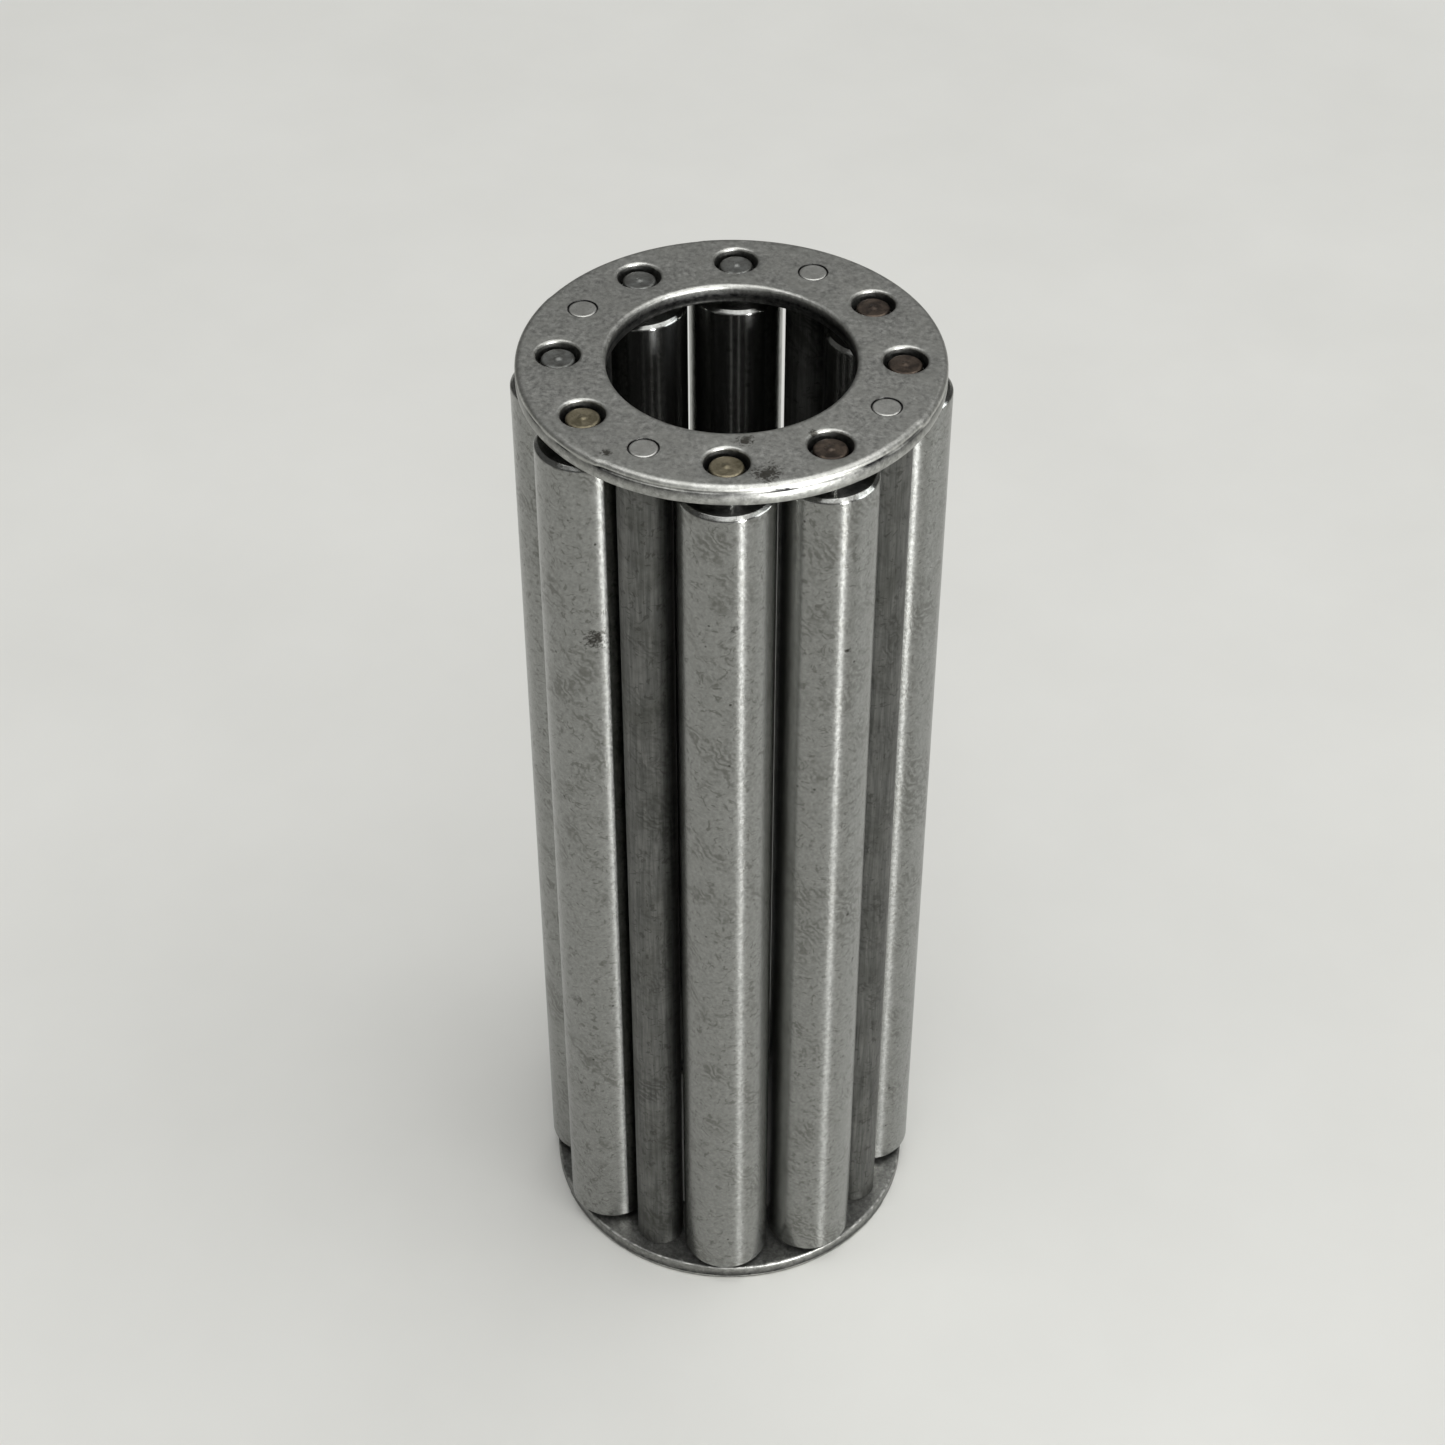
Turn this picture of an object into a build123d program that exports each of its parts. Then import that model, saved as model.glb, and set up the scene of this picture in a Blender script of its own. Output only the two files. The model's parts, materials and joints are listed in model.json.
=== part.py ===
from build123d import *
import os
from math import asin, ceil, degrees, pi

# Sizes in millimetres. The assembly stands on its lower end plate: its axis is +Z, and the origin is the
# centre of the plate's underside. One stay bar lies on +X, and the others follow it every quarter turn.
OVERALL_LENGTH = 122.0          # from the outer face of one end plate to the outer face of the other
STAY_COUNT = 4                  # stay bars, each followed by one pair of rollers

# Rollers: a long ground body with a turned-down stub at each end.
ROLLER_DIAMETER = 10.0
ROLLER_CHAMFER = 0.4
STUB_DIAMETER = 3.5
STUB_CHAMFER = 0.3
PIP_DIAMETER = 0.7              # nub that turning leaves at the centre of a stub's end
PIP_HEIGHT = 0.15

# Stay bars: a plain bar with a shouldered tenon at each end, riveted flush into the end plates.
STAY_DIAMETER = 5.6
TENON_DIAMETER = 3.0
TENON_CHAMFER = 0.15

# End plates: a flat ring, punched from sheet, with its rounded edges facing outwards.
PLATE_THICKNESS = 2.0
RIM_ROUNDING = 0.6
BORE_ROUNDING = 0.4
STUB_HOLE_ROUNDING = 0.35
TENON_HOLE_ROUNDING = 0.12

# Clearances.
RUNNING_GAP = 0.5               # least gap round the pitch circle between a roller and its neighbour
PITCH_STEP = 0.25               # pitch radii rise in this step, so shaft sizes rise in half millimetres
BORE_CLEARANCE = 0.2            # from the shaft to the wall of a plate's bore
RIM_INSET = 0.65                # how far a plate's rim stays inside the circle round the rollers
STUB_CLEARANCE = 0.55           # from a stub to the wall of its hole
TENON_CLEARANCE = 0.05          # from a tenon to the wall of its hole
TENON_INSET = 0.03              # how far a riveted tenon stays below the outer face of its plate
LOWER_FLOAT = 0.65              # from the lower plate to a roller's body, with the roller at its lowest
UPPER_FLOAT = 1.15              # from a roller's body to the upper plate, with the roller at its lowest
STUB_INSET = 0.05               # from the lower plate's outer face to the end of a roller's lower stub


def bay_angle(radius):
    """Angle that a stay bar, its pair of rollers and the gaps between them take up on a pitch radius."""
    between_rollers = 2 * asin((ROLLER_DIAMETER + RUNNING_GAP) / (2 * radius))
    beside_stay = 2 * asin((ROLLER_DIAMETER / 2 + STAY_DIAMETER / 2 + RUNNING_GAP) / (2 * radius))
    return between_rollers + 2 * beside_stay


def smallest_pitch_radius():
    """Smallest pitch radius, in whole steps, on which all the stay bars and rollers fit."""
    steps = ceil((ROLLER_DIAMETER + STAY_DIAMETER) / PITCH_STEP)
    while bay_angle(steps * PITCH_STEP) > 2 * pi / STAY_COUNT:
        steps += 1
    return steps * PITCH_STEP


# Places worked out from the sizes.
pitch_radius = smallest_pitch_radius()
shaft_radius = pitch_radius - ROLLER_DIAMETER / 2
housing_radius = pitch_radius + ROLLER_DIAMETER / 2
bore_radius = shaft_radius + BORE_CLEARANCE
rim_radius = housing_radius - RIM_INSET
stub_hole_radius = STUB_DIAMETER / 2 + STUB_CLEARANCE
tenon_hole_radius = TENON_DIAMETER / 2 + TENON_CLEARANCE
upper_plate_base = OVERALL_LENGTH - PLATE_THICKNESS
roller_base = PLATE_THICKNESS + LOWER_FLOAT
roller_top = upper_plate_base - UPPER_FLOAT
stub_length = roller_base - STUB_INSET
bay = 360 / STAY_COUNT
half_pair = degrees(asin((ROLLER_DIAMETER + RUNNING_GAP) / (2 * pitch_radius)))
stay_angles = [bay * index for index in range(STAY_COUNT)]
roller_angles = [
    angle + bay / 2 + side * half_pair
    for angle in stay_angles
    for side in (-1, 1)
]


def on_pitch_circle(angle):
    """Place on the pitch circle, at the level of the origin."""
    return Rot(0, 0, angle) * Pos(pitch_radius, 0, 0)


def rounded_hole(radius, rounding):
    """Solid of a hole through a plate, flared at the top, where it meets the rounded edge."""
    wall = Polyline(
        (radius + rounding, PLATE_THICKNESS),
        (0, PLATE_THICKNESS),
        (0, 0),
        (radius, 0),
        (radius, PLATE_THICKNESS - rounding),
    )
    flare = RadiusArc(wall @ 1, wall @ 0, rounding)
    return revolve(Plane.XZ * make_face(wall + flare), Axis.Z)


def end_plate():
    """Flat ring with its holes, lying on the origin with its rounded edges upwards."""
    ring = extrude(Circle(rim_radius), PLATE_THICKNESS)
    ring = fillet(ring.edges().group_by(Axis.Z)[-1], RIM_ROUNDING)
    ring -= rounded_hole(bore_radius, BORE_ROUNDING)
    for angle in roller_angles:
        ring -= on_pitch_circle(angle) * rounded_hole(stub_hole_radius, STUB_HOLE_ROUNDING)
    for angle in stay_angles:
        ring -= on_pitch_circle(angle) * rounded_hole(tenon_hole_radius, TENON_HOLE_ROUNDING)
    return ring


def turned(outline):
    """Solid turned about Z from one side of its outline, given as radius and height from bottom to top."""
    bottom = (0, outline[0][1])
    top = (0, outline[-1][1])
    section = Plane.XZ * make_face(Polyline(bottom, *outline, top, close=True))
    return revolve(section, Axis.Z)


def stay_bar():
    """Plain bar seated between the end plates, with a tenon through each of them."""
    bar = STAY_DIAMETER / 2
    tenon = TENON_DIAMETER / 2
    foot = TENON_INSET
    head = OVERALL_LENGTH - TENON_INSET
    return turned([
        (tenon - TENON_CHAMFER, foot),
        (tenon, foot + TENON_CHAMFER),
        (tenon, PLATE_THICKNESS),
        (bar, PLATE_THICKNESS),
        (bar, upper_plate_base),
        (tenon, upper_plate_base),
        (tenon, head - TENON_CHAMFER),
        (tenon - TENON_CHAMFER, head),
    ])


def roller():
    """Long roller at its lowest place, with its stubs reaching into the holes of the end plates."""
    body = ROLLER_DIAMETER / 2
    stub = STUB_DIAMETER / 2
    foot = roller_base - stub_length
    head = roller_top + stub_length
    turned_roller = turned([
        (stub - STUB_CHAMFER, foot),
        (stub, foot + STUB_CHAMFER),
        (stub, roller_base),
        (body - ROLLER_CHAMFER, roller_base),
        (body, roller_base + ROLLER_CHAMFER),
        (body, roller_top - ROLLER_CHAMFER),
        (body - ROLLER_CHAMFER, roller_top),
        (stub, roller_top),
        (stub, head - STUB_CHAMFER),
        (stub - STUB_CHAMFER, head),
    ])
    pip = extrude(Circle(PIP_DIAMETER / 2), PIP_HEIGHT)
    return turned_roller + Pos(0, 0, head) * pip


def export_parts():
    """Writes each piece to a file of its own, in its place in the assembly."""
    os.makedirs("parts", exist_ok=True)
    plate = end_plate()
    export_step(Pos(0, 0, upper_plate_base) * plate, "parts/top_plate.step")
    export_step(Pos(0, 0, PLATE_THICKNESS) * Rot(180, 0, 0) * plate, "parts/bottom_plate.step")
    for number, angle in enumerate(stay_angles, start=1):
        export_step(on_pitch_circle(angle) * stay_bar(), f"parts/stay_bar_{number}.step")
    for number, angle in enumerate(roller_angles, start=1):
        export_step(on_pitch_circle(angle) * roller(), f"parts/roller_{number}.step")


export_parts()
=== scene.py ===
import json
import math

import bmesh
import bpy
import numpy as np
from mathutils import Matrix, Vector


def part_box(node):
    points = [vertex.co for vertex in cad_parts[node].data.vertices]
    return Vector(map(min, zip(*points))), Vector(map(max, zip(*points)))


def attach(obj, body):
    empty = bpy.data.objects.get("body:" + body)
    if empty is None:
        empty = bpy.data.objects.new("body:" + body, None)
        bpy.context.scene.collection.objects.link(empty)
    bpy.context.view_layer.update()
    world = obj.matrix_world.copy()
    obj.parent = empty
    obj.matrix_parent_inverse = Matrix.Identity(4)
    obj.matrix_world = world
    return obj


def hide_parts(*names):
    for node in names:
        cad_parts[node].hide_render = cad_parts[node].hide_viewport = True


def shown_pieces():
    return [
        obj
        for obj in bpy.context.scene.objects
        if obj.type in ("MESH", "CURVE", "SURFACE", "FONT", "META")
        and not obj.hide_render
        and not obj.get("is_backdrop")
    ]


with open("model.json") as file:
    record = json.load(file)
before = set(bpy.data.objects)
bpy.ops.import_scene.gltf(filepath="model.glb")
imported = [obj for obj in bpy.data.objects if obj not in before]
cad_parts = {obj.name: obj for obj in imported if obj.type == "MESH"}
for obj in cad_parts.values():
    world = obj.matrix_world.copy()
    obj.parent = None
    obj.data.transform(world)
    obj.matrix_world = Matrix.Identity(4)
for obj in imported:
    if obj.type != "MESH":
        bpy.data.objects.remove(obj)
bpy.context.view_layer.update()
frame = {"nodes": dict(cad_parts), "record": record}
mm = 0.001                    # one millimetre in metres
fullTurn = 2 * math.pi
uvPerMetre = 100              # one unit of a turned piece's UV map is a centimetre of steel
print("frame loaded:", len(frame["nodes"]), "nodes")


# ---- shapes ----

# Path through (radius, height, rounding) corners: each corner is replaced by a curve that starts and ends
# one rounding away from it, with a guard point outside both ends that keeps the flats' shading flat.
def roundedPath(corners, steps=7, guard=0.03 * mm):
    corners = np.array(corners, float)
    places, roundings = corners[:, :2], corners[:, 2]
    path = [places[0]]
    turn = np.linspace(0, 1, steps)[:, None]
    for before, corner, after, rounding in zip(places, places[1:], places[2:], roundings[1:]):
        arriving = (corner - before) / np.linalg.norm(corner - before)
        leaving = (after - corner) / np.linalg.norm(after - corner)
        start = corner - arriving * rounding
        end = corner + leaving * rounding
        curve = start * (1 - turn) ** 2 + corner * 2 * turn * (1 - turn) + end * turn ** 2
        path += [start - arriving * guard, *curve, end + leaving * guard]
    path.append(places[-1])
    return np.array(path)


# Sum of sine waves round a circle, with seeded sizes and phases, from -1 to 1.
def ripple(angle, seed, waves):
    random = np.random.default_rng(seed)
    counts = np.arange(1, waves + 1)
    sizes = random.normal(0, 1, waves)
    phases = random.uniform(0, fullTurn, waves)
    total = (sizes * np.sin(np.multiply.outer(angle, counts) + phases)).sum(-1)
    return total / np.abs(sizes).sum()


# Point numbers of the quads of a rows by columns grid, whose last column joins its first.
def gridQuads(rows, columns, first=0):
    numbers = first + np.arange(rows * columns).reshape(rows, columns)
    following = np.roll(numbers, -1, axis=1)
    quads = np.stack([numbers[:-1], following[:-1], following[1:], numbers[1:]], axis=-1)
    return quads.reshape(-1, 4)


def putPiece(name, points, faces, uv=None, grime=None):
    mesh = bpy.data.meshes.new(name)
    mesh.from_pydata(points.tolist(), [], faces)
    # Painted shade: a value per point of how far the material darkens it towards black.
    if grime is not None:
        layer = mesh.attributes.new("grime", "FLOAT", "POINT")
        layer.data.foreach_set("value", grime.astype(np.float32))
    if uv is not None:
        layer = mesh.uv_layers.new(name="turned")
        layer.data.foreach_set("uv", uv.astype(np.float32).ravel())
    mesh.shade_smooth()
    piece = bpy.data.objects.new(name, mesh)
    bpy.context.scene.collection.objects.link(piece)
    return piece


# Solid turned about a vertical line: every point of the path goes round the centre. The path starts and ends
# on the line, so both poles are closed. In its UV map, u is the way along the path and v the way round.
def turnedPiece(name, path, centre, segments):
    angle = np.arange(segments) * fullTurn / segments
    ring = path[1:-1]
    along = np.concatenate([[0], np.cumsum(np.linalg.norm(np.diff(path, axis=0), axis=1))])
    points = np.stack([
        centre[0] + np.multiply.outer(ring[:, 0], np.cos(angle)),
        centre[1] + np.multiply.outer(ring[:, 0], np.sin(angle)),
        np.repeat(ring[:, 1:], segments, axis=1),
    ], axis=-1).reshape(-1, 3)
    bottom, top = len(points), len(points) + 1
    points = np.vstack([points, [*centre, path[0, 1]], [*centre, path[-1, 1]]])
    quads = gridQuads(len(ring), segments)
    around = np.arange(segments)
    onwards = np.roll(around, -1)
    last = (len(ring) - 1) * segments
    foot = np.stack([np.full(segments, bottom), onwards, around], axis=-1)
    head = np.stack([last + around, last + onwards, np.full(segments, top)], axis=-1)
    u = np.stack([along[1:-2], along[1:-2], along[2:-1], along[2:-1]], axis=-1)
    u = np.repeat(u[:, None, :], segments, axis=1).reshape(-1)
    v = np.stack([around, around + 1, around + 1, around], axis=-1)
    v = np.tile(v, (len(ring) - 1, 1, 1)).reshape(-1)
    footU = np.tile([along[0], along[1], along[1]], segments)
    headU = np.tile([along[-2], along[-2], along[-1]], segments)
    footV = np.stack([around + 0.5, around + 1, around], axis=-1).reshape(-1)
    headV = np.stack([around, around + 1, around + 0.5], axis=-1).reshape(-1)
    reach = path[:, 0].max() * fullTurn / segments
    uv = np.stack([
        np.concatenate([u, footU, headU]),
        np.concatenate([v, footV, headV]) * reach,
    ], axis=-1) * uvPerMetre
    faces = quads.tolist() + foot.tolist() + head.tolist()
    return putPiece(name, points, faces, uv)


def mergeSeams(piece, distance=1e-7):
    work = bmesh.new()
    work.from_mesh(piece.data)
    bmesh.ops.remove_doubles(work, verts=work.verts, dist=distance)
    bmesh.ops.recalc_face_normals(work, faces=work.faces)
    work.to_mesh(piece.data)
    work.free()


# ---- node materials ----

def newMaterial(name, metallic, **sockets):
    material = bpy.data.materials.new(name)
    material.use_nodes = True
    shader = material.node_tree.nodes["Principled BSDF"]
    shader.inputs["Metallic"].default_value = metallic
    for socket, value in sockets.items():
        shader.inputs[socket.replace("_", " ")].default_value = value
    return material, material.node_tree, shader


def addNode(tree, kind, inputs=None, **settings):
    node = tree.nodes.new("ShaderNode" + kind)
    for setting, value in settings.items():
        setattr(node, setting, value)
    for socket, value in (inputs or {}).items():
        if isinstance(value, bpy.types.NodeSocket):
            tree.links.new(value, node.inputs[socket])
        else:
            node.inputs[socket].default_value = value
    return node


# Object coordinates in millimetres, stretched by the three factors.
def millimetres(tree, stretch=(1, 1, 1)):
    place = addNode(tree, "TexCoord").outputs["Object"]
    scale = tuple(1 / mm * factor for factor in stretch)
    return addNode(tree, "Mapping", {"Vector": place, "Scale": scale}).outputs["Vector"]


def noise(tree, place, scale, detail=4.0, roughness=0.6, distortion=0.0):
    inputs = {
        "Vector": place, "Scale": scale, "Detail": detail, "Roughness": roughness, "Distortion": distortion,
    }
    return addNode(tree, "TexNoise", inputs).outputs["Fac"]


# Straight ramp of a value from one range to another, held at the ends.
def remap(tree, value, low, high, newLow=0.0, newHigh=1.0):
    inputs = {"Value": value, "From Min": low, "From Max": high, "To Min": newLow, "To Max": newHigh}
    return addNode(tree, "MapRange", inputs).outputs["Result"]


def calculate(tree, operation, first, second=0.0):
    return addNode(tree, "Math", {0: first, 1: second}, operation=operation).outputs[0]


# Colour between two others by a factor.
def tint(tree, factor, colour, other):
    node = addNode(tree, "Mix", data_type="RGBA", blend_type="MIX")
    for socket, value in (("Factor_Float", factor), ("A_Color", colour), ("B_Color", other)):
        target = next(s for s in node.inputs if s.identifier == socket)
        if isinstance(value, bpy.types.NodeSocket):
            tree.links.new(value, target)
        else:
            target.default_value = (*value, 1) if isinstance(value, tuple) else value
    return next(s for s in node.outputs if s.identifier == "Result_Color")


# Blot of oil round a place in millimetres: 1 in the middle and 0 at its reach. The distance from the middle
# grows and shrinks with the ragged noise, which breaks the edge.
def blot(tree, place, centre, reach, ragged):
    away = addNode(tree, "VectorMath", {0: place, 1: centre}, operation="DISTANCE").outputs["Value"]
    broken = remap(tree, ragged, 0.3, 0.7, -reach * 0.75, reach * 0.75)
    return remap(tree, calculate(tree, "ADD", away, broken), reach, reach * 0.4)


# Dried oil film: patches of fine wavy ridges, the sine of a distorted distance, and short dark creases along
# the middle level of a swirling noise, broken up by another one.
def oilFilm(tree, place):
    patch = noise(tree, place, 0.13, 4.0, 0.6, 1.0)
    ridges = addNode(tree, "TexWave", {
        "Vector": place, "Scale": 0.42, "Distortion": 20.0, "Detail": 3.0, "Detail Scale": 0.7,
        "Detail Roughness": 0.6}, wave_type="BANDS", bands_direction="DIAGONAL").outputs["Fac"]
    ridges = calculate(tree, "MULTIPLY", ridges, remap(tree, patch, 0.5, 0.62, 0.0, 0.75))
    swirl = noise(tree, place, 0.52, 2.0, 0.5, 1.4)
    level = calculate(tree, "ABSOLUTE", calculate(tree, "SUBTRACT", swirl, 0.5))
    crease = remap(tree, level, 0.05, 0.015, 0.0, 0.75)
    broken = remap(tree, noise(tree, place, 1.1, 2.0, 0.5), 0.5, 0.6)
    return calculate(tree, "MAXIMUM", ridges, calculate(tree, "MULTIPLY", crease, broken))


def bump(tree, height, strength, distance, below=None):
    inputs = {"Height": height, "Strength": strength, "Distance": distance * mm}
    if below is not None:
        inputs["Normal"] = below
    return addNode(tree, "Bump", inputs).outputs["Normal"]


# ---- end plates ----

plateSizes = {
    "stubHole": 2.3 * mm, "stubHoleEdge": 0.32 * mm,
    "tenonHole": 1.53 * mm, "tenonHoleEdge": 0.07 * mm,
    "boreEdge": 0.48 * mm, "burrEdge": 0.05 * mm, "rimBurr": 0.09 * mm,
    "wallFootEdge": 0.02 * mm, "landFoot": 0.9 * mm,
    "tearHeight": 0.62 * mm, "tearRipple": 0.05 * mm, "tearDrop": 0.06 * mm,
    "tornTop": 0.05 * mm, "tornFoot": 0.07 * mm, "tornFootHeight": 0.12 * mm, "tornRipple": 0.02 * mm,
    # Painted shade: how dark the painted shade is on the inner faces, the hole walls, the bore's land and
    # torn band and the rim's groove and wall, and how much of each hole's or the bore's rounded edge it
    # leaves bare.
    "faceGrime": 0.6, "wallGrime": 0.97, "landGrime": 0.93, "tornGrime": 0.72,
    "rimGrime": (0.4, 0.97, 0.97, 0.7, 0.3, 0.2, 0), "lowerRimGrime": 0.3,
    "stubHoleClean": 0.55, "tenonHoleClean": -0.8, "boreClean": 0.75,
    "dishDepth": 0.035 * mm, "dishReach": 0.75 * mm,
    "waveDepth": 0.02 * mm,
    "arcPoints": 24, "ringRows": 12, "firstRow": 0.012, "secondRow": 0.05, "rowGrowth": 1.15,
}
rimSizes = {
    "lipSteps": 9, "lipRipple": 0.012 * mm, "ragged": 0.045 * mm,
    "groove": 0.05 * mm, "grooveByInset": 0.25, "grooveRipple": 0.03 * mm,
    "tornMean": 0.45, "tornSwing": 2.5, "tornLeast": 0.12,
    "strokeSoftness": 0.22,     # in degrees of turn
}
# How wide and high each plate's rolled lip is, and how much painted shade darkens it.
# The lower plate rests on its lip.
plateLips = {"top_plate": (0.6 * mm, 0.5 * mm, 0.0), "bottom_plate": (0.36 * mm, 0.34 * mm, 0.8)}
almostWhole = 0.999           # share of an edge that its rounding takes, so that two points never meet
thinGuard = 0.0004 * mm       # guard distance on the plates' small edges
tornRows = 3                  # rows of the rim's wall that the torn groove under the lip takes
# Rim of the plates, cut in four strokes: (first angle in degrees, how far the lip stands in from the rim).
rimStrokes = ((0, 0.03 * mm), (128, 0.10 * mm), (179, 0.02 * mm), (263, 0.24 * mm), (358.5, 0.03 * mm))

# Oil stains on the top plate: (turn in degrees, distance from the axis, reach), in millimetres.
plateStains = ((304.5, 14.2, 0.9), (309, 19.6, 1.5), (331, 15.1, 0.6), (262, 20.1, 0.6))

plateLow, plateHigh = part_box("top_plate")
plateThickness = plateHigh.z - plateLow.z
rimRadius = plateHigh.x
boreRadius = next(m for m in frame["record"]["mounts"] if m["name"] == "shaft_bore")["dims"]["r_mm"] * mm


def nodeCentre(node):
    low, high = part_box(node)
    return np.array([(low.x + high.x) / 2, (low.y + high.y) / 2])


stayNodes = [n for n in frame["nodes"] if n.startswith("stay_bar_")]
rollerNodes = [n for n in frame["nodes"] if n.startswith("roller_")]
holes = sorted(
    [(nodeCentre(n), plateSizes["tenonHole"], plateSizes["tenonHoleEdge"]) for n in stayNodes]
    + [(nodeCentre(n), plateSizes["stubHole"], plateSizes["stubHoleEdge"]) for n in rollerNodes],
    key=lambda hole: math.atan2(hole[0][1], hole[0][0]) % fullTurn,
)
holeAngles = np.array([math.atan2(centre[1], centre[0]) % fullTurn for centre, _, _ in holes])
holeAngles = np.where(holeAngles > fullTurn - 1e-6, 0, holeAngles)
nextAngles = np.roll(holeAngles, -1) + np.where(np.arange(len(holes)) == len(holes) - 1, fullTurn, 0)
sectorEnds = (holeAngles + nextAngles) / 2
sectorStarts = np.roll(sectorEnds, 1) - np.where(np.arange(len(holes)) == 0, fullTurn, 0)


# How far the lip stands in from the rim at each angle: steps between strokes, softened over half a degree.
def lipInset(angle):
    degree = np.degrees(angle) % 360
    inset = np.full(degree.shape, rimStrokes[0][1])
    for (start, depth), (_, before) in zip(rimStrokes[1:], rimStrokes):
        inset = inset + (depth - before) / (1 + np.exp(-(degree - start) / rimSizes["strokeSoftness"]))
    return inset + rimSizes["lipRipple"] * ripple(angle, seed=5, waves=60)


# One face of a plate between two angles: rings of points that change, row by row, from the hole's edge circle
# to the sector's own outline of two arcs and two straight sides.
def sectorFace(centre, holeRadius, start, end, inner, outer, height):
    size = plateSizes
    share = np.linspace(0, 1, size["arcPoints"], endpoint=False)
    bend = start + (end - start) * share
    away = start + (end - start) * (1 - share)
    outerStart, outerEnd = outer(np.array([start])), outer(np.array([end]))
    radius = np.concatenate([
        inner + (outerStart - inner) * share,
        outer(bend),
        outerEnd + (inner - outerEnd) * share,
        np.full(share.shape, inner),
    ])
    angle = np.concatenate([np.full(share.shape, start), bend, np.full(share.shape, end), away])
    outline = np.stack([radius * np.cos(angle), radius * np.sin(angle)], axis=-1)
    toward = outline - centre
    edge = centre + holeRadius * toward / np.linalg.norm(toward, axis=1)[:, None]
    spread = np.linspace(size["secondRow"], 1, size["ringRows"]) ** size["rowGrowth"]
    rows = np.concatenate([[0, size["firstRow"]], spread])[:, None, None]
    flat = edge + (outline - edge) * rows
    return np.concatenate([flat, np.full(flat.shape[:2] + (1,), height)], axis=-1), edge


# Wall of a hole: the edge circle's own points, moved in and down along the path.
def holeWall(centre, edge, path):
    toward = (edge - centre) / np.linalg.norm(edge - centre, axis=1)[:, None]
    flat = centre + path[:, 0][:, None, None] * toward
    return np.concatenate([flat, np.repeat(path[:, 1][:, None, None], len(edge), axis=1)], axis=-1)


# Dents and waves of the sheet, all below the true face: the depth is that of shallow dishes, which fade with
# the distance from the punched holes, plus a slow wave, the product of two sines across the sheet.
def sheetRelief(points):
    depth = np.zeros(len(points))
    for centre, radius, _ in holes:
        if radius == plateSizes["stubHole"]:
            away = np.linalg.norm(points[:, :2] - centre, axis=1) - radius
            depth += plateSizes["dishDepth"] * np.exp(-(np.maximum(away, 0) / plateSizes["dishReach"]) ** 2)
    x, y = points[:, 0] / mm, points[:, 1] / mm
    wave = np.sin(0.21 * x + 0.13 * y + 0.4) * np.sin(0.17 * y - 0.08 * x + 1.9)
    return depth + plateSizes["waveDepth"] * (0.5 + 0.5 * wave)


# A whole plate, lying on its inner face at height zero, with its rounded edges upwards: its points, its faces
# and how much painted shade each point gets.
def plateArrays(lip):
    size = plateSizes
    thick = plateThickness
    patches = []
    for (centre, radius, edgeSize), start, end in zip(holes, sectorStarts, sectorEnds):
        top, edge = sectorFace(
            centre, radius + edgeSize, start, end, boreRadius + size["boreEdge"],
            lambda angle: rimRadius - lipInset(angle) - lip[0], thick)
        under, _ = sectorFace(
            centre, radius + size["burrEdge"], start, end, boreRadius + size["burrEdge"],
            lambda angle: np.full(np.shape(angle), rimRadius - size["rimBurr"]), 0)
        wall = roundedPath([
            (radius + edgeSize, thick, 0), (radius, thick, edgeSize * almostWhole),
            (radius, size["burrEdge"], size["wallFootEdge"]),
            (radius + size["burrEdge"], 0, 0)], guard=thinGuard)
        wall = holeWall(centre, edge, wall)
        # Painted shade on the hole walls, darker deeper in; round the rivet holes it climbs over the rounded
        # edge as a dark ring. The inner face gets painted shade all over.
        unshadedShare = size["stubHoleClean"] if radius == size["stubHole"] else size["tenonHoleClean"]
        holeShade = np.clip((thick - wall[:, :, 2]) / edgeSize - unshadedShare, 0, 1) * size["wallGrime"]
        under = under, np.full(under.shape[:2], size["faceGrime"])
        patches += [(top, np.zeros(top.shape[:2])), under, (wall, holeShade)]
    arcs = [
        start + (end - start) * np.linspace(0, 1, size["arcPoints"], endpoint=False)
        for start, end in zip(sectorStarts, sectorEnds)
    ]
    angle = np.concatenate(arcs)
    patches += [boreWall(angle), rimWall(angle, *lip)]
    points, faces, first = [], [], 0
    for patch, _ in patches:
        rows, columns = patch.shape[:2]
        points.append(patch.reshape(-1, 3))
        faces.append(gridQuads(rows, columns, first))
        first += rows * columns
    points = np.vstack(points)
    points[:, 2] -= sheetRelief(points) * points[:, 2] / thick
    return points, np.vstack(faces), np.concatenate([grime.ravel() for _, grime in patches])


# Bore: a rolled edge, a smooth sheared land, and below it the torn part of the cut, which opens a little.
def boreWall(angle):
    size = plateSizes
    tear = size["tearHeight"] + size["tearRipple"] * ripple(angle, seed=11, waves=40)[None, :]
    level = np.ones((1, len(angle)))
    path = roundedPath([
        (boreRadius + size["boreEdge"], plateThickness, 0),
        (boreRadius, plateThickness, size["boreEdge"] * almostWhole),
        (boreRadius, size["landFoot"], 0)], guard=thinGuard)
    edge = np.repeat(path[:, None, :], len(angle), axis=1)
    radius = np.vstack([
        edge[:, :, 0],
        boreRadius * level,
        boreRadius + size["tornTop"] + size["tornRipple"] * ripple(angle, seed=12, waves=60)[None, :],
        boreRadius + size["tornFoot"] + size["tornRipple"] * ripple(angle, seed=13, waves=60)[None, :],
        (boreRadius + size["burrEdge"]) * level,
    ])
    tornFootHeight = size["tornFootHeight"] * level
    height = np.vstack([edge[:, :, 1], tear, tear - size["tearDrop"], tornFootHeight, 0 * level])
    # Painted shade: none on the lit part of the rolled edge, dark on the land below it, a little less on the
    # torn band.
    shown = (plateThickness - edge[:, :, 1]) / size["boreEdge"] - size["boreClean"]
    grime = np.vstack([np.clip(shown, 0, 1) * size["landGrime"], np.full((4, len(angle)), size["tornGrime"])])
    return np.stack([radius * np.cos(angle), radius * np.sin(angle), height], axis=-1), grime
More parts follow.
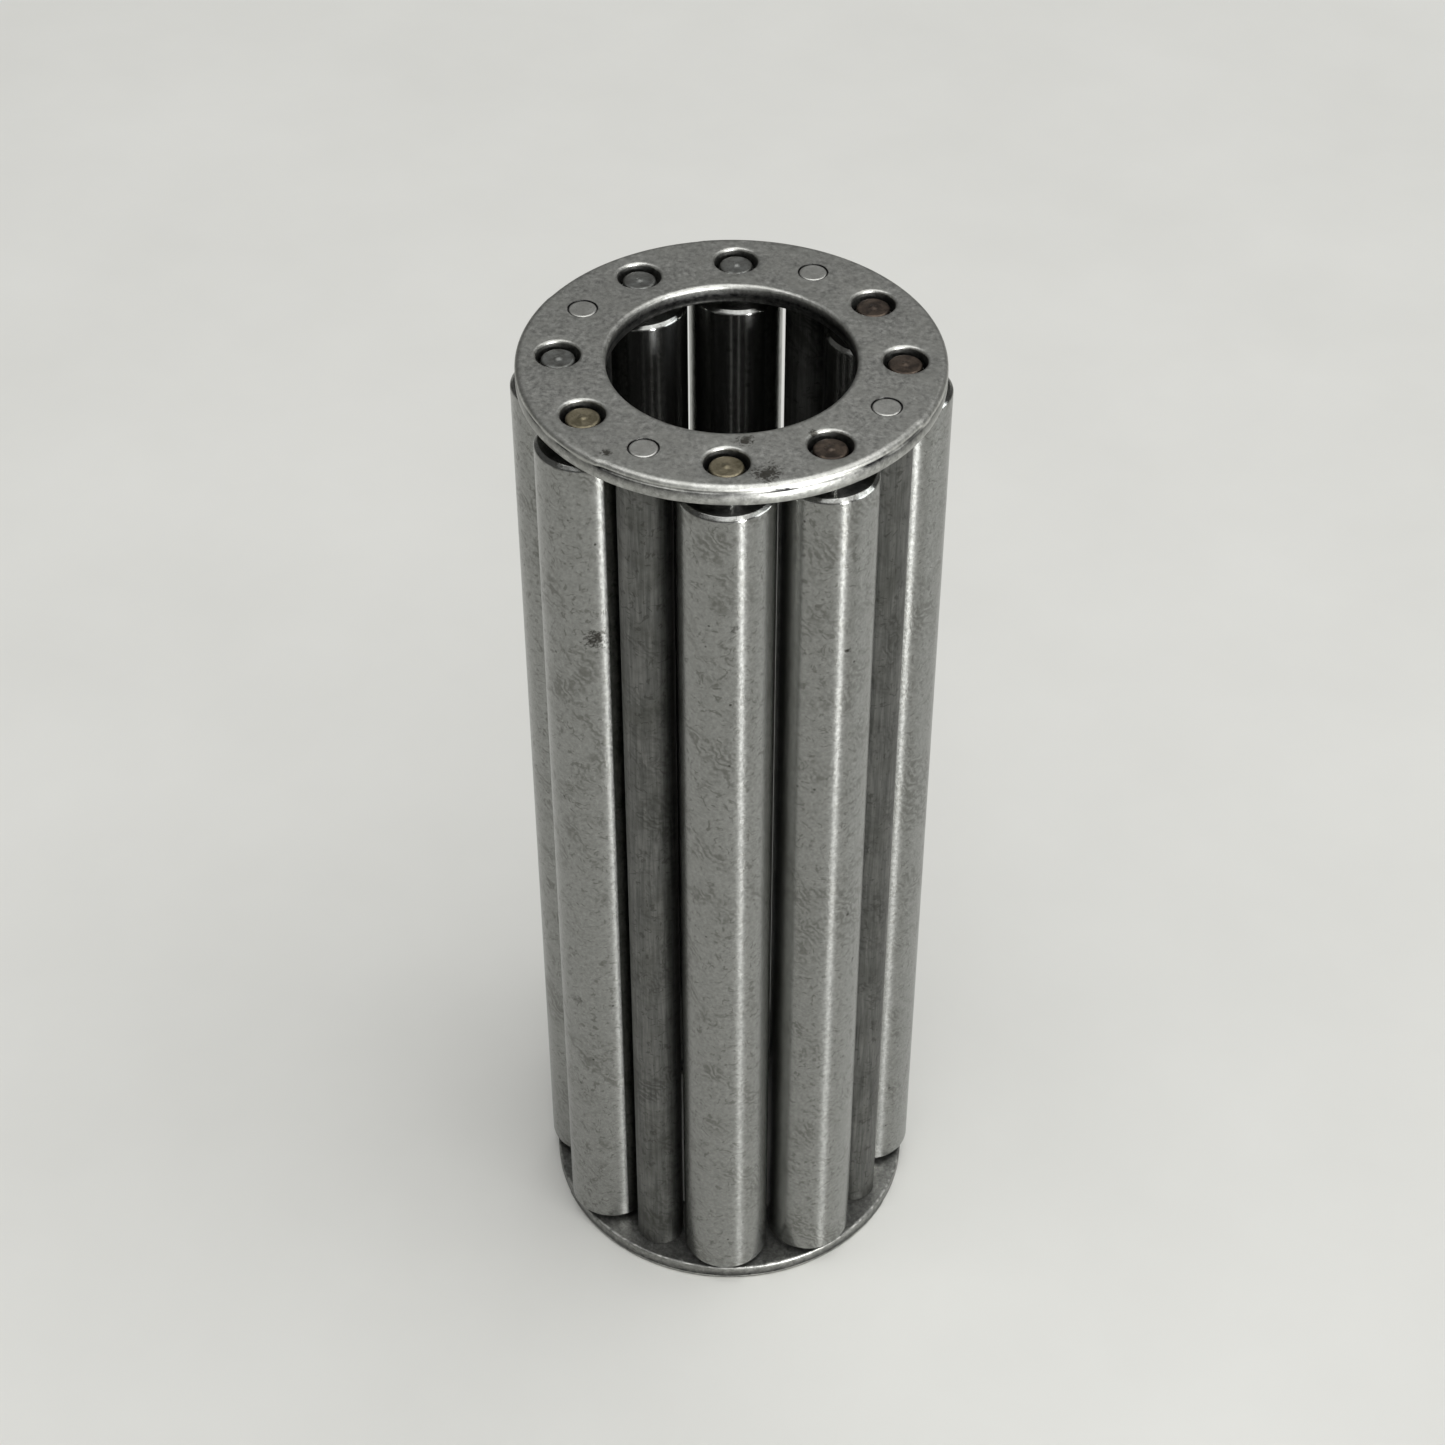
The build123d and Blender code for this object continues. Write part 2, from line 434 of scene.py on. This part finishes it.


# Rim: a rolled lip that stands in by the stroke's inset, a torn groove under it, and the wall at full radius.
# The groove is deep, and painted dark with shade, only where a slow ripple is high.
def rimWall(angle, lipWidth, lipHeight, lipPaintedShade):
    size, rim = plateSizes, rimSizes
    inset = lipInset(angle)[None, :]
    level = np.ones((1, len(angle)))
    quarter = np.linspace(0, math.pi / 2, rim["lipSteps"])[:, None]
    lipRadius = rimRadius - inset - lipWidth * (1 - np.sin(quarter))
    lipFoot = plateThickness - lipHeight
    lipRise = (lipFoot + lipHeight * np.cos(quarter)) * level
    ragged = rim["ragged"] * ripple(angle, seed=21, waves=90)[None, :]
    torn = rim["tornMean"] + rim["tornSwing"] * ripple(angle, seed=24, waves=30)
    torn = np.clip(torn, rim["tornLeast"], 1)[None, :]
    uneven = rim["grooveRipple"] * ripple(angle, seed=22, waves=70)[None, :]
    groove = (rim["groove"] + rim["grooveByInset"] * inset + uneven) * torn
    # Rows from the top down: the lip, its foot, the groove's bottom and lower side, three of wall, the burr.
    radius = np.vstack([
        lipRadius,
        rimRadius - inset,
        rimRadius - inset - groove,
        rimRadius - 0.35 * inset - groove * 0.4,
        (rimRadius - 0.02 * mm) * level,
        rimRadius - 0.01 * mm + 0.01 * mm * ripple(angle, seed=23, waves=80)[None, :],
        rimRadius - size["rimBurr"] * 0.3 + 0.3 * ragged,
        (rimRadius - size["rimBurr"]) * level,
    ])
    height = np.vstack([
        lipRise,
        lipFoot - 0.05 * mm + ragged,
        lipFoot - 0.10 * mm + ragged,
        lipFoot - 0.17 * mm + ragged,
        lipFoot - 0.26 * mm + ragged * 0.6,
        0.55 * mm * level,
        0.08 * mm + 0.4 * ragged,
        0 * level,
    ])
    # Painted shade: on the lower plate's lip it grows down the rounding, it is darkest in the groove where it
    # is torn, it fades down the wall, and the lower plate's wall gets more.
    rowPaintedShade = np.concatenate([np.linspace(0, 1, len(lipRadius)) * lipPaintedShade, size["rimGrime"]])
    grime = np.repeat(rowPaintedShade[:, None], len(angle), axis=1)
    wallStart = len(lipRadius) + tornRows
    grime[len(lipRadius):wallStart] *= torn
    grime[wallStart:-1] += size["lowerRimGrime"] * lipPaintedShade
    return np.stack([radius * np.cos(angle), radius * np.sin(angle), height], axis=-1), grime


# Pale sheet steel with a fine grain, darkened by slow clouds and a few oil stains, and painted near black
# with shade on its cut walls, its rim's groove and wall, its inner faces and the lower plate's lip.
def plateSteel():
    material, tree, shader = newMaterial("plateSteel", 1.0)
    place = millimetres(tree)
    grain = noise(tree, place, 1.9, 6.0, 0.75, 0.3)
    cloud = noise(tree, place, 0.25, 5.0, 0.6, 0.8)
    ragged = noise(tree, place, 1.6, 5.0, 0.7, 0.8)
    colour = tint(tree, remap(tree, grain, 0.3, 0.7), (0.27, 0.272, 0.256), (0.63, 0.633, 0.60))
    colour = tint(tree, remap(tree, cloud, 0.4, 0.65, 0.0, 0.6), colour, (0.34, 0.342, 0.316))
    stains = None
    for angle, radius, reach in plateStains:
        turn = math.radians(angle)
        centre = (radius * math.cos(turn), radius * math.sin(turn), plateHigh.z / mm)
        spot = blot(tree, place, centre, reach, ragged)
        stains = spot if stains is None else calculate(tree, "MAXIMUM", stains, spot)
    colour = tint(tree, calculate(tree, "MULTIPLY", stains, 0.85), colour, (0.05, 0.045, 0.035))
    # Painted shade: the mesh's shade values, broken a little by ragged noise, mix the colour towards near
    # black.
    grime = addNode(tree, "Attribute", attribute_name="grime").outputs["Fac"]
    patchy = calculate(tree, "MULTIPLY", remap(tree, ragged, 0.35, 0.65, -0.13, 0.13),
                       remap(tree, grime, 0.0, 0.2))
    shadeAmount = remap(tree, calculate(tree, "ADD", grime, patchy), 0.0, 1.0)
    colour = tint(tree, shadeAmount, colour, (0.016, 0.016, 0.017))
    tree.links.new(colour, shader.inputs["Base Color"])
    rough = remap(tree, cloud, 0.3, 0.7, 0.36, 0.44)
    rough = calculate(tree, "ADD", rough, remap(tree, grain, 0.3, 0.7, -0.04, 0.06))
    tree.links.new(rough, shader.inputs["Roughness"])
    fine = bump(tree, noise(tree, place, 5.0, 4.0, 0.7), 0.5, 0.025)
    normal = bump(tree, noise(tree, place, 0.9, 3.0, 0.5), 0.35, 0.03, fine)
    tree.links.new(normal, shader.inputs["Normal"])
    return material


# ---- stay bars ----

stayBar = {
    "shoulderEdge": 0.12 * mm, "tenonRadius": 1.48 * mm, "tenonEdge": 0.22 * mm, "rivetDepth": 0.264 * mm,
    "segments": 72,
}


def stayPath(node):
    low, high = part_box(node)
    bar = (high.x - low.x) / 2
    tenon, foot, head = stayBar["tenonRadius"], low.z, high.z
    lowerFace, upperFace = plateThickness, plateLow.z
    return roundedPath([
        (0, foot, 0), (tenon, foot, stayBar["tenonEdge"]), (tenon, lowerFace, 0.02 * mm),
        (bar, lowerFace, stayBar["shoulderEdge"]), (bar, upperFace, stayBar["shoulderEdge"]),
        (tenon, upperFace, 0.02 * mm), (tenon, head, stayBar["tenonEdge"]), (0, head, 0)])


def staySteel():
    material, tree, shader = newMaterial("staySteel", 1.0, Anisotropic=0.35)
    place = millimetres(tree)
    drawn = millimetres(tree, (1, 1, 0.06))
    streak = noise(tree, drawn, 2.4, 5.0, 0.65, 0.4)
    patch = noise(tree, place, 0.16, 5.0, 0.6, 1.2)
    scuff = noise(tree, place, 1.4, 5.0, 0.7, 2.0)
    colour = tint(tree, remap(tree, streak, 0.35, 0.65), (0.115, 0.117, 0.112), (0.215, 0.215, 0.206))
    colour = tint(tree, remap(tree, patch, 0.45, 0.7, 0.0, 0.6), colour, (0.085, 0.087, 0.077))
    wrinkled = oilFilm(tree, place)
    colour = tint(tree, calculate(tree, "MULTIPLY", wrinkled, 0.8), colour, (0.06, 0.06, 0.054))
    tree.links.new(colour, shader.inputs["Base Color"])
    tree.links.new(remap(tree, scuff, 0.3, 0.7, 0.44, 0.58), shader.inputs["Roughness"])
    fine = bump(tree, wrinkled, 0.2, 0.02, bump(tree, streak, 0.25, 0.03))
    tree.links.new(bump(tree, scuff, 0.25, 0.03, fine), shader.inputs["Normal"])
    tree.links.new(addNode(tree, "Tangent", direction_type="UV_MAP", uv_map="turned").outputs[0],
                   shader.inputs["Tangent"])
    return material


# ---- rollers ----

rollerSizes = {
    "bodyEdge": 0.4 * mm, "stubRadius": 1.75 * mm, "stubEdge": 0.32 * mm, "stubEnd": 2.6 * mm,
    "neckEdge": 0.15 * mm, "faceShare": 0.6, "faceEdge": 0.1 * mm,
    "chamferInner": 0.08 * mm, "chamferOuter": 0.16 * mm,
    "pipRadius": 0.32 * mm, "pipHeight": 0.13 * mm, "pipRoom": 0.15 * mm,
    "pipFoot": 1.5, "pipFootEdge": 0.12 * mm, "pipHead": 0.5, "pipHeadRise": 0.9, "pipHeadEdge": 0.08 * mm,
    "oxideFoot": 0.45 * mm, "oxideHead": 0.6 * mm, "segments": 128,
}
# Oil blots on the rollers: (roller, turn in degrees, height, reach, strength) with places in millimetres.
rollerBlots = (
    ("roller_6", 308, 97, 1.3, 0.9), ("roller_8", 323.5, 99.5, 0.35, 0.9), ("roller_7", 309, 105, 0.5, 0.5),
    ("roller_8", 340, 60.6, 0.25, 0.9), ("roller_8", 354, 52.6, 0.3, 0.8), ("roller_6", 262, 41.5, 0.9, 0.35),
)


# Oxide on the ends of each roller's stubs.
stubTints = {
    "roller_1": "brown", "roller_2": "brown", "roller_3": "grey", "roller_4": "grey",
    "roller_5": "grey", "roller_6": "ochre", "roller_7": "ochre", "roller_8": "brown",
}


def rollerPath(node):
    low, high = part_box(node)
    size = rollerSizes
    body, stub, pip = (high.x - low.x) / 2, size["stubRadius"], size["pipRadius"]
    foot, head = low.z, high.z - size["pipRoom"]
    bodyFoot, bodyHead = foot + size["stubEnd"], head - size["stubEnd"]
    face, chamfer = body * size["faceShare"], size["bodyEdge"]
    neck, bend = size["neckEdge"], size["faceEdge"]
    inner, outer = size["chamferInner"], size["chamferOuter"]
    return roundedPath([
        (0, foot, 0), (stub, foot, size["stubEdge"]), (stub, bodyFoot, neck),
        (face, bodyFoot, bend), (body - chamfer, bodyFoot, inner), (body, bodyFoot + chamfer, outer),
        (body, bodyHead - chamfer, outer), (body - chamfer, bodyHead, inner), (face, bodyHead, bend),
        (stub, bodyHead, neck), (stub, head, size["stubEdge"]),
        (pip * size["pipFoot"], head, size["pipFootEdge"]),
        (pip * size["pipHead"], head + size["pipHeight"] * size["pipHeadRise"], size["pipHeadEdge"]),
        (0, head + size["pipHeight"], 0)])


# Ground steel: fine rings of grinding, the oil film, and specks and blots of dry oil.
def rollerSteel():
    material, tree, shader = newMaterial("rollerSteel", 1.0, Anisotropic=0.92)
    place = millimetres(tree)
    turned = addNode(tree, "UVMap", uv_map="turned").outputs["UV"]
    ground = addNode(tree, "Mapping", {"Vector": turned, "Scale": (60, 4, 1)}).outputs["Vector"]
    grind = noise(tree, ground, 1.0, 3.0, 0.6)
    grain = noise(tree, place, 2.4, 6.0, 0.7, 0.4)
    wrinkled = oilFilm(tree, place)
    colour = tint(tree, remap(tree, grain, 0.3, 0.7), (0.20, 0.203, 0.193), (0.345, 0.348, 0.335))
    colour = tint(tree, calculate(tree, "MULTIPLY", wrinkled, 0.85), colour, (0.12, 0.119, 0.107))
    cell = addNode(tree, "TexVoronoi", {"Vector": place, "Scale": 0.45})
    lot = addNode(tree, "SeparateColor", {"Color": cell.outputs["Color"]}).outputs[0]
    chosen = remap(tree, lot, 0.72, 0.74)
    speck = calculate(tree, "MULTIPLY", remap(tree, cell.outputs["Distance"], 0.085, 0.045), chosen)
    stains = calculate(tree, "MULTIPLY", speck, 0.8)
    for node, turn, height, reach, strength in rollerBlots:
        centre = nodeCentre(node) / mm
        radius = rollerRadius / mm
        spot = blot(tree, place, (
            centre[0] + radius * math.cos(math.radians(turn)),
            centre[1] + radius * math.sin(math.radians(turn)), height), reach, grain)
        stains = calculate(tree, "MAXIMUM", stains, calculate(tree, "MULTIPLY", spot, strength))
    colour = tint(tree, stains, colour, (0.035, 0.032, 0.028))
    tree.links.new(colour, shader.inputs["Base Color"])
    rough = remap(tree, grain, 0.3, 0.7, 0.185, 0.225)
    rough = calculate(tree, "ADD", rough, calculate(tree, "MULTIPLY", wrinkled, 0.05))
    tree.links.new(rough, shader.inputs["Roughness"])
    fine = bump(tree, grind, 0.10, 0.01)
    fine = bump(tree, grain, 0.25, 0.03, fine)
    tree.links.new(bump(tree, wrinkled, 0.22, 0.02, fine), shader.inputs["Normal"])
    tree.links.new(addNode(tree, "Tangent", direction_type="UV_MAP", uv_map="turned").outputs[0],
                   shader.inputs["Tangent"])
    return material


# Sawn or riveted end of a turned piece: dull steel with a dark grain and patches of a tint.
def endSteel(name, pale, dark, roughness):
    material, tree, shader = newMaterial(name, 1.0)
    place = millimetres(tree)
    grain = noise(tree, place, 3.0, 5.0, 0.7)
    patch = noise(tree, place, 0.8, 4.0, 0.6, 0.5)
    colour = tint(tree, remap(tree, patch, 0.38, 0.62), pale, dark)
    colour = tint(tree, remap(tree, grain, 0.55, 0.75, 0.0, 0.7), colour, tuple(part * 0.35 for part in dark))
    tree.links.new(colour, shader.inputs["Base Color"])
    rough = remap(tree, grain, 0.3, 0.7, roughness - 0.06, roughness + 0.08)
    tree.links.new(rough, shader.inputs["Roughness"])
    normal = bump(tree, grain, 0.5, 0.05, bump(tree, patch, 0.4, 0.06))
    tree.links.new(normal, shader.inputs["Normal"])
    return material


# ---- putting the bearing together ----

# Gives a piece its material, and the end material where a face's centre is below or above the two levels.
def dress(piece, material, body, node, endMaterial=None, levels=None):
    piece.data.materials.append(material)
    if endMaterial:
        piece.data.materials.append(endMaterial)
        centres = np.empty(len(piece.data.polygons) * 3)
        piece.data.polygons.foreach_get("center", centres)
        height = centres[2::3]
        ends = (height < levels[0]) | (height > levels[1])
        piece.data.polygons.foreach_set("material_index", ends.astype(np.int32))
    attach(piece, body)
    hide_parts(node)


plateMaterial = plateSteel()
for node, flip, base in (("top_plate", 1, plateLow.z), ("bottom_plate", -1, plateThickness)):
    platePoints, plateFaces, platePaintedShade = plateArrays(plateLips[node])
    points = platePoints * (1, flip, flip) + (0, 0, base)
    plate = putPiece(node.replace("_", "") + "Ring", points, plateFaces.tolist(), grime=platePaintedShade)
    mergeSeams(plate)
    dress(plate, plateMaterial, "cage", node)
print("end plates:", len(plateFaces), "quads each")

stayMaterial = staySteel()
rivetMaterial = endSteel("rivetSteel", (0.54, 0.542, 0.515), (0.44, 0.44, 0.414), 0.42)
for node in stayNodes:
    name = node.replace("_", "") + "Turned"
    stay = turnedPiece(name, stayPath(node), nodeCentre(node), stayBar["segments"])
    low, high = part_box(node)
    levels = low.z + stayBar["rivetDepth"], high.z - stayBar["rivetDepth"]
    dress(stay, stayMaterial, "cage", node, rivetMaterial, levels)
print("stay bars:", len(stayNodes))

rollerLow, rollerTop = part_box(rollerNodes[0])
rollerRadius = (rollerTop.x - rollerLow.x) / 2
rollerMaterial = rollerSteel()
endMaterials = {
    "grey": endSteel("stubEndGrey", (0.20, 0.205, 0.196), (0.11, 0.11, 0.102), 0.5),
    "ochre": endSteel("stubEndOchre", (0.25, 0.22, 0.155), (0.13, 0.115, 0.075), 0.5),
    "brown": endSteel("stubEndBrown", (0.11, 0.086, 0.068), (0.05, 0.040, 0.034), 0.5),
}
for node in rollerNodes:
    name = node.replace("_", "") + "Turned"
    roller = turnedPiece(name, rollerPath(node), nodeCentre(node), rollerSizes["segments"])
    low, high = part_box(node)
    levels = low.z + rollerSizes["oxideFoot"], high.z - rollerSizes["oxideHead"]
    endMaterial = endMaterials[stubTints[node]]
    dress(roller, rollerMaterial, node + "_body", node, endMaterial, levels)
print("rollers:", len(rollerNodes))


# ---- floor, light and camera ----

studio = {
    "azimuth": 29.24, "elevation": 42.1, "distance": 0.327, "lens": 72.8,
    "target": (-0.00079, -0.00044, 0.0724), "floorSize": 12.0,
}


# Unit direction from the object towards an azimuth and elevation in degrees; azimuth 0 is towards -Y.
def directionTo(azimuth, elevation):
    turn, lift = math.radians(azimuth), math.radians(elevation)
    return np.array([
        math.sin(turn) * math.cos(lift),
        -math.cos(turn) * math.cos(lift),
        math.sin(lift),
    ])


def aim(thing, place, target):
    thing.location = place
    thing.rotation_euler = (Vector(target) - Vector(place)).to_track_quat("-Z", "Y").to_euler()


def areaLight(name, azimuth, elevation, distance, width, height, power, colour=(1, 1, 1)):
    data = bpy.data.lights.new(name, "AREA")
    data.shape = "RECTANGLE"
    data.size, data.size_y = width, height
    data.energy = power
    data.color = colour
    light = bpy.data.objects.new(name, data)
    bpy.context.scene.collection.objects.link(light)
    target = (0, 0, studio["target"][2])
    aim(light, tuple(np.array(target) + directionTo(azimuth, elevation) * distance), target)
    return light


def floorMaterial():
    material, tree, shader = newMaterial("paleFloor", 0.0, Roughness=0.6)
    place = millimetres(tree)
    cloud = noise(tree, place, 0.02, 4.0, 0.6)
    colour = tint(tree, remap(tree, cloud, 0.3, 0.7), (0.74, 0.74, 0.706), (0.78, 0.78, 0.746))
    tree.links.new(colour, shader.inputs["Base Color"])
    return material


half = studio["floorSize"] / 2
floorPoints = np.array([(-half, -half, 0), (half, -half, 0), (half, half, 0), (-half, half, 0)])
floor = putPiece("floor", floorPoints, [(0, 1, 2, 3)])
floor.data.materials.append(floorMaterial())
floor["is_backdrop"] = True

areaLight("overheadSoft", 75, 76, 1.8, 2.6, 2.6, 46.0)
sideStrip = areaLight("sideStrip", 60, 8, 0.8, 0.045, 0.3, 17.0)
windowSoft = areaLight("windowSoft", 112, 15, 1.0, 0.7, 0.7, 10.0, (0.95, 0.98, 1.0))
# Each narrow light reaches only the pieces it draws a line on.
for light, starts in ((sideStrip, ("roller", "top", "bottom")), (windowSoft, "roller")):
    reached = bpy.data.collections.new(light.name + "Reach")
    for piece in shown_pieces():
        if piece.name.startswith(starts):
            reached.objects.link(piece)
    light.light_linking.receiver_collection = reached
world = bpy.data.worlds.new("studioAir")
world.use_nodes = True
background = world.node_tree.nodes["Background"]
background.inputs["Color"].default_value = (1.0, 1.0, 0.98, 1)
background.inputs["Strength"].default_value = 0.15
bpy.context.scene.world = world
bpy.context.scene.view_settings.view_transform = "Standard"

cameraData = bpy.data.cameras.new("camera")
cameraData.lens = studio["lens"]
cameraData.clip_start = 0.01
camera = bpy.data.objects.new("camera", cameraData)
bpy.context.scene.collection.objects.link(camera)
reach = directionTo(studio["azimuth"], studio["elevation"]) * studio["distance"]
aim(camera, tuple(np.array(studio["target"]) + reach), studio["target"])
bpy.context.scene.camera = camera
print("floor, lights and camera are in place")
